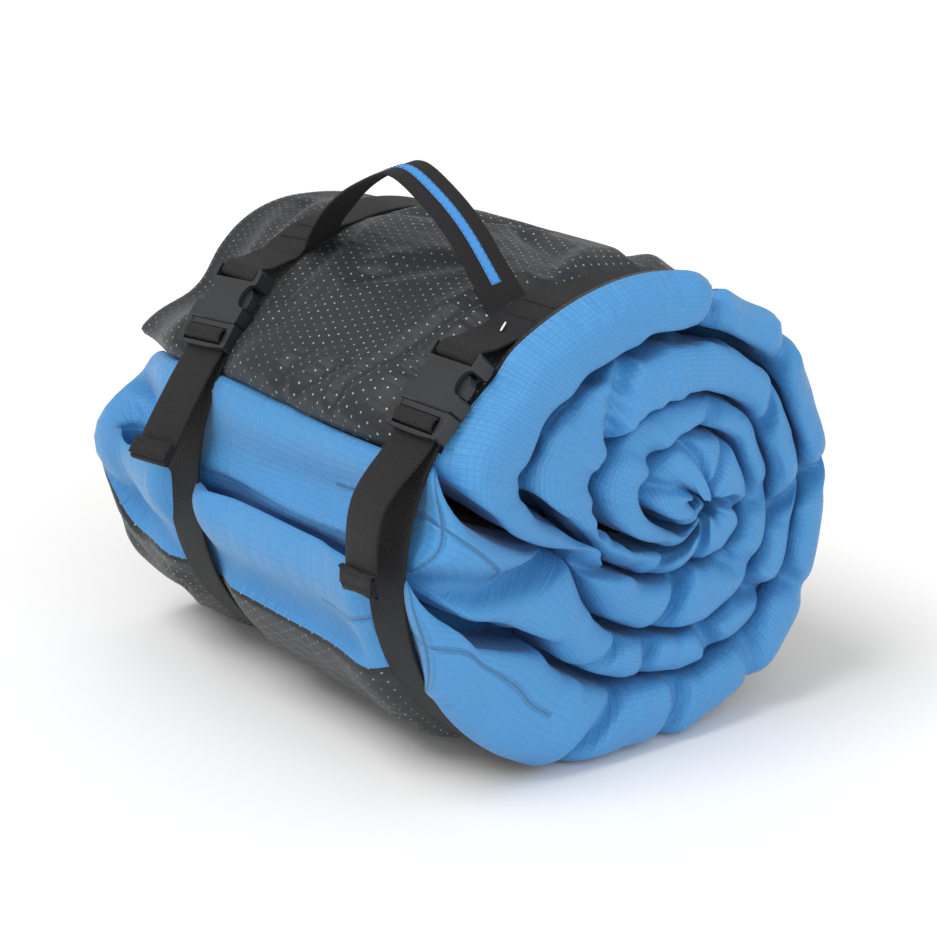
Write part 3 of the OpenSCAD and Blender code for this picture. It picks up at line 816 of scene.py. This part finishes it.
# ---------------------------------------------------------------- materials
class Shader:
    """A principled material, with short ways to join its nodes."""
    def __init__(self, name, color, rough, spec=0.5, sheen=0.0):
        self.mat = bpy.data.materials.new(name)
        self.mat.use_nodes = True
        self.tree = self.mat.node_tree
        self.bsdf = self.tree.nodes["Principled BSDF"]
        self.color = color
        for socket, value in (("Base Color", (*color, 1)), ("Roughness", rough),
                              ("Specular IOR Level", spec), ("Sheen Weight", sheen)):
            self.bsdf.inputs[socket].default_value = value

    def link(self, value, socket):
        if isinstance(value, (int, float)):
            socket.default_value = value
        elif isinstance(value, tuple):
            to_rgba = len(value) == 3 and len(socket.default_value) == 4
            socket.default_value = (*value, 1) if to_rgba else value
        else:
            self.tree.links.new(value, socket)

    def math(self, op, *args):
        n = self.tree.nodes.new("ShaderNodeMath")
        n.operation = op
        for i, v in enumerate(args):
            self.link(v, n.inputs[i])
        return n.outputs[0]

    def add(self, a, b):
        return self.math("ADD", a, b)

    def sub(self, a, b):
        return self.math("SUBTRACT", a, b)

    def mul(self, a, b):
        return self.math("MULTIPLY", a, b)

    def remap(self, v, a, b, c=0.0, d=1.0):
        """Smoothly from c where v is a to d where v is b."""
        n = self.tree.nodes.new("ShaderNodeMapRange")
        n.interpolation_type = "SMOOTHSTEP"
        for i, x in enumerate((v, a, b, c, d)):
            self.link(x, n.inputs[i])
        return n.outputs[0]

    def uv(self):
        """Place on the cloth in mm: across and along, or along and across the side band."""
        n = self.tree.nodes.new("ShaderNodeUVMap")
        n.uv_map = "weave"
        s = self.tree.nodes.new("ShaderNodeSeparateXYZ")
        self.tree.links.new(n.outputs[0], s.inputs[0])
        return s.outputs[0], s.outputs[1]

    def noise(self, scale, detail=2.0, vec=None):
        n = self.tree.nodes.new("ShaderNodeTexNoise")
        n.inputs["Scale"].default_value = scale
        n.inputs["Detail"].default_value = detail
        if vec is None:
            vec = self.tree.nodes.new("ShaderNodeTexCoord").outputs["Object"]
        self.tree.links.new(vec, n.inputs["Vector"])
        return n.outputs[0]

    def vector(self, x, y, z=0.0):
        n = self.tree.nodes.new("ShaderNodeCombineXYZ")
        for i, v in enumerate((x, y, z)):
            self.link(v, n.inputs[i])
        return n.outputs[0]

    def mix(self, fac, a, b):
        n = self.tree.nodes.new("ShaderNodeMix")
        n.data_type = "RGBA"
        self.link(fac, n.inputs[0])
        self.link(a, n.inputs[6])
        self.link(b, n.inputs[7])
        return n.outputs[2]

    def shade(self, fac, low, high):
        """The base colour times low at fac 0 and times high at fac 1."""
        c = self.color
        return self.mix(fac, tuple(x * low for x in c), tuple(min(1.0, x * high) for x in c))

    def paint(self, color):
        self.link(color, self.bsdf.inputs["Base Color"])

    def bump(self, height, dist, strength=1.0):
        n = self.tree.nodes.new("ShaderNodeBump")
        n.inputs["Distance"].default_value = dist
        n.inputs["Strength"].default_value = strength
        self.link(height, n.inputs["Height"])
        self.tree.links.new(n.outputs[0], self.bsdf.inputs["Normal"])

    def lines(self, w, period, width):
        """1 on thin lines every period mm."""
        p = self.math("PINGPONG", w, period / 2)
        return self.remap(p, period / 2 - width, period / 2 - width * 0.2)

    def bricks(self, w):
        """Half a step on every second row."""
        return self.mul(self.math("FLOORED_MODULO", self.math("FLOOR", w), 2.0), 0.5)

BLUE_RGB = (0.064, 0.270, 0.570)
GREY_RGB = (0.017, 0.021, 0.023)
DOT_RGB = (0.40, 0.43, 0.44)
WEB_RGB = (0.0125, 0.0125, 0.0135)
PLASTIC_RGB = (0.017, 0.018, 0.020)

def darker(color, by):
    return tuple(c * by for c in color)

def add_seams(s, u, v, color, h, corner, rim_len):
    """Short seams along the middle of the side band from each corner, and one across it there."""
    reach = 78.0
    wander = s.mul(s.sub(s.noise(1.0, 2.0, s.vector(s.mul(u, 0.03), 4.0)), 0.5), 2.5)
    away = [s.math("ABSOLUTE", s.sub(u, c)) for c in (corner, 0.0, rim_len)]
    dist = s.math("MINIMUM", away[0], s.math("MINIMUM", away[1], away[2]))
    mid = s.math("ABSOLUTE", s.sub(s.add(v, wander), BAND_H / 2))
    on = s.remap(dist, reach - 3, reach, 1.0, 0.0)

    def seam(inner, outer):
        along = s.mul(on, s.remap(mid, inner, outer, 1.0, 0.0))
        return s.math("MAXIMUM", along, s.remap(dist, inner, outer, 1.0, 0.0))
    edge = s.math("MINIMUM", v, s.sub(BAND_H, v))
    gather = s.noise(1.0, 3.0, s.vector(s.mul(u, 0.22), s.mul(v, 0.02), 7.0))
    h = s.sub(h, s.mul(seam(0.3, 1.5), 1.6))
    h = s.add(h, s.mul(gather, s.remap(edge, 0.0, 16.0, 3.2, 0.4)))
    return s.mix(s.mul(seam(0.15, 0.6), 0.6), color, darker(BLUE_RGB, 0.22)), h

def blue(name, seams=None):
    """Blue cloth with a fine grid; seams is the band's corner and its whole length."""
    s = Shader(name, BLUE_RGB, 0.46, 0.35, 0.12)
    s.bsdf.inputs["Sheen Roughness"].default_value = 0.4
    u, v = s.uv()
    cell, thread = 3.1, 0.45
    grid = s.math("MAXIMUM", s.lines(u, cell, thread), s.lines(v, cell, thread))
    pucker = s.noise(1.0, 2.0, s.vector(s.mul(u, 0.09), s.mul(v, 0.045)))
    color = s.mix(s.mul(grid, 0.17), s.shade(s.noise(14.0), 0.90, 1.08), darker(BLUE_RGB, 0.80))
    h = s.add(s.mul(grid, 0.22), s.mul(s.noise(900.0, 1.0), 0.10))
    h = s.add(h, s.mul(pucker, 2.6))
    if seams:
        color, h = add_seams(s, u, v, color, h, *seams)
    s.paint(color)
    s.bump(h, 0.0011, 0.75)
    return s.mat

def grey():
    """Dark grey cloth with rows of small worn grip dots."""
    s = Shader("grey_cloth", GREY_RGB, 0.50, 0.3, 0.05)
    pitch, dot_r = 5.7, 0.53
    u, v = s.uv()
    row, col = s.math("DIVIDE", u, pitch), s.math("DIVIDE", v, pitch)
    cu = s.sub(s.math("FRACT", row), 0.5)
    cv = s.sub(s.math("FRACT", s.add(col, s.bricks(row))), 0.5)
    d = s.mul(s.math("SQRT", s.add(s.mul(cu, cu), s.mul(cv, cv))), pitch)
    dot = s.remap(d, dot_r - 0.19, dot_r + 0.19, 1.0, 0.0)
    worn = s.remap(s.noise(60.0, 3.0), 0.36, 0.62, 0.35, 1.0)
    s.paint(s.mix(s.mul(dot, worn), s.shade(s.noise(11.0), 0.82, 1.18), DOT_RGB))
    fold = s.noise(1.0, 2.0, s.vector(s.mul(u, 0.035), s.mul(v, 0.10)))
    h = s.add(s.mul(s.noise(1300.0, 1.0), 0.14), s.mul(fold, 3.0))
    s.bump(s.add(h, s.mul(dot, 0.25)), 0.0011, 0.75)
    return s.mat

def webbing(name, rib=1.9):
    """Black webbing: rows of ribs, every second row half a rib further on, with painted highlights on
    the ribs' tops and painted shade between them.
    """
    s = Shader(name, WEB_RGB, 0.66, 0.22, 0.03)
    row_w = 1.45
    u, v = s.uv()
    step = s.add(s.math("DIVIDE", v, rib), s.bricks(s.math("DIVIDE", u, row_w)))
    along = s.math("ABSOLUTE", s.math("SINE", s.mul(step, math.pi)))
    across = s.math("ABSOLUTE", s.math("SINE", s.mul(u, math.pi / row_w)))
    knot = s.mul(s.math("POWER", along, 0.7), s.add(s.mul(across, 0.6), 0.4))
    lint = s.noise(500.0, 2.0)
    # colour: painted highlight on the rib tops and painted shade between the ribs, from the rib height,
    # plus random lint tone
    rib_light_shade_and_lint = s.add(s.mul(knot, 0.7), s.mul(lint, 0.45))
    s.paint(s.mix(rib_light_shade_and_lint, (0.002, 0.002, 0.0023), (0.021, 0.021, 0.023)))
    s.bump(s.add(knot, s.mul(lint, 0.35)), 0.0005, 0.9)
    return s.mat

def plastic():
    """Black buckle plastic with a fine grain and slightly uneven gloss."""
    s = Shader("buckle_plastic", PLASTIC_RGB, 0.38, 0.5)
    s.paint(s.shade(s.noise(35.0, 3.0), 0.85, 1.2))
    s.link(s.remap(s.noise(60.0, 3.0), 0.3, 0.7, 0.32, 0.46), s.bsdf.inputs["Roughness"])
    s.bump(s.noise(1800.0, 2.0), 0.00012, 0.5)
    return s.mat

def plain(name, color, rough, bumpy=0.0, scale=1500.0):
    s = Shader(name, color, rough, 0.3)
    s.paint(s.shade(s.noise(40.0), 0.9, 1.1))
    if bumpy:
        s.bump(s.noise(scale, 2.0), bumpy, 0.7)
    return s.mat

GREY, BLUE_TOP = grey(), blue("blue_cloth")
BLUE_BAND = blue("blue_band", (INFO["corner"], INFO["rim_len"]))
WEB, HANDLE_WEB, PLASTIC = webbing("strap_web"), webbing("handle_web_cloth", 1.7), plastic()
TAPE = plain("blue_tape", (0.06, 0.26, 0.62), 0.5, 0.0002)
BLACK_THREAD = plain("black_thread", (0.02, 0.02, 0.022), 0.7)
WHITE_THREAD = plain("white_thread", (0.82, 0.82, 0.80), 0.6)
FOAM = plain("foam", (0.75, 0.74, 0.70), 0.9, 0.0005, 600.0)

def dress(o, mat):
    o.data.materials.clear()
    o.data.materials.append(mat)

for o, mat, slot, nodes in (
        (grey_cover, GREY, "grey_cover", ["cover_base", "foam_core"]),
        (blue_cover, BLUE_TOP, "blue_cover", ["cover_top"]),
        (blue_band, BLUE_BAND, "blue_gusset", ["side_gusset"])):
    dress(o, mat)
    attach(o, "roll")
    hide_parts(*nodes)
for o in WEBBING:
    dress(o, WEB)
for o in BLACK_STITCHES:
    dress(o, BLACK_THREAD)
dress(handle, HANDLE_WEB)
dress(tape, TAPE)
dress(white_tack, WHITE_THREAD)

def is_buckle(name):
    return "buckle" in name or "prong" in name

def cad_material(name):
    """Finish of a carried-over CAD node, also for the ones that a new piece replaces."""
    own = {"foam_core": FOAM, "cover_base": GREY, "cover_top": BLUE_TOP, "side_gusset": BLUE_TOP,
           "handle_stripe": TAPE, "near_strap_bartack": WHITE_THREAD}
    if name in own:
        return own[name]
    if is_buckle(name):
        return PLASTIC
    return BLACK_THREAD if "bartack" in name else WEB

def round_edges(o, width_m=0.0008):
    b = o.modifiers.new("bevel", "BEVEL")
    b.width, b.segments = width_m, 3
    b.limit_method, b.angle_limit = "ANGLE", math.radians(35)
    b.use_clamp_overlap = b.harden_normals = True

for name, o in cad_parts.items():
    o.data.materials.clear()
    o.data.materials.append(cad_material(name))
    if is_buckle(name):
        round_edges(o)

# ---------------------------------------------------------------- floor, light and camera
def make_floor():
    bpy.ops.mesh.primitive_plane_add(size=60, location=(0, 0, 0))
    floor = bpy.context.object
    floor.name = "floor"
    floor.data.materials.append(Shader("floor", (0.93, 0.93, 0.925), 0.9).mat)

def make_world(light=0.60, seen=1.0):
    """A soft white dome that lights the roll, and looks whiter than it lights."""
    world = bpy.context.scene.world or bpy.data.worlds.new("world")
    bpy.context.scene.world = world
    world.use_nodes = True
    tree = world.node_tree
    tree.nodes.clear()
    pick = tree.nodes.new("ShaderNodeMixShader")
    path = tree.nodes.new("ShaderNodeLightPath")
    tree.links.new(path.outputs["Is Camera Ray"], pick.inputs[0])
    for slot, color, strength in ((1, (1, 1, 1, 1), light), (2, (1, 1, 0.995, 1), seen)):
        dome = tree.nodes.new("ShaderNodeBackground")
        dome.inputs[0].default_value, dome.inputs[1].default_value = color, strength
        tree.links.new(dome.outputs[0], pick.inputs[slot])
    out = tree.nodes.new("ShaderNodeOutputWorld")
    tree.links.new(pick.outputs[0], out.inputs[0])

def sun(name, toward, strength, spread):
    d = bpy.data.lights.new(name, "SUN")
    d.energy, d.angle = strength, math.radians(spread)
    o = bpy.data.objects.new(name, d)
    bpy.context.scene.collection.objects.link(o)
    o.rotation_euler = Vector(toward).to_track_quat("Z", "Y").to_euler()

def make_camera():
    """The photo's own viewpoint: azimuth, elevation and distance to a point in the roll."""
    az, el, dist = math.radians(52.3), math.radians(18.9), 1.740
    sensor, lens = 36, 115.2615
    forward = Vector((-math.sin(az) * math.cos(el), math.cos(az) * math.cos(el), -math.sin(el)))
    right = Vector((math.cos(az), math.sin(az), 0))
    aim = Vector((0, 0, 0.120)) + right * 0.01189
    cam = bpy.data.cameras.new("cam")
    cam.sensor_width, cam.lens = sensor, lens
    cam.clip_start, cam.clip_end = 0.05, 30
    o = bpy.data.objects.new("cam", cam)
    bpy.context.scene.collection.objects.link(o)
    o.location = aim - forward * dist
    o.rotation_euler = forward.to_track_quat("-Z", "Y").to_euler()
    bpy.context.scene.camera = o

make_floor()
make_world()
sun("key", (-0.04, -0.60, 0.95), 1.65, 34)
sun("fill", (0.95, -0.25, 0.42), 1.1, 60)
bpy.context.scene.view_settings.view_transform = "Standard"
bpy.context.scene.view_settings.look = "None"
make_camera()
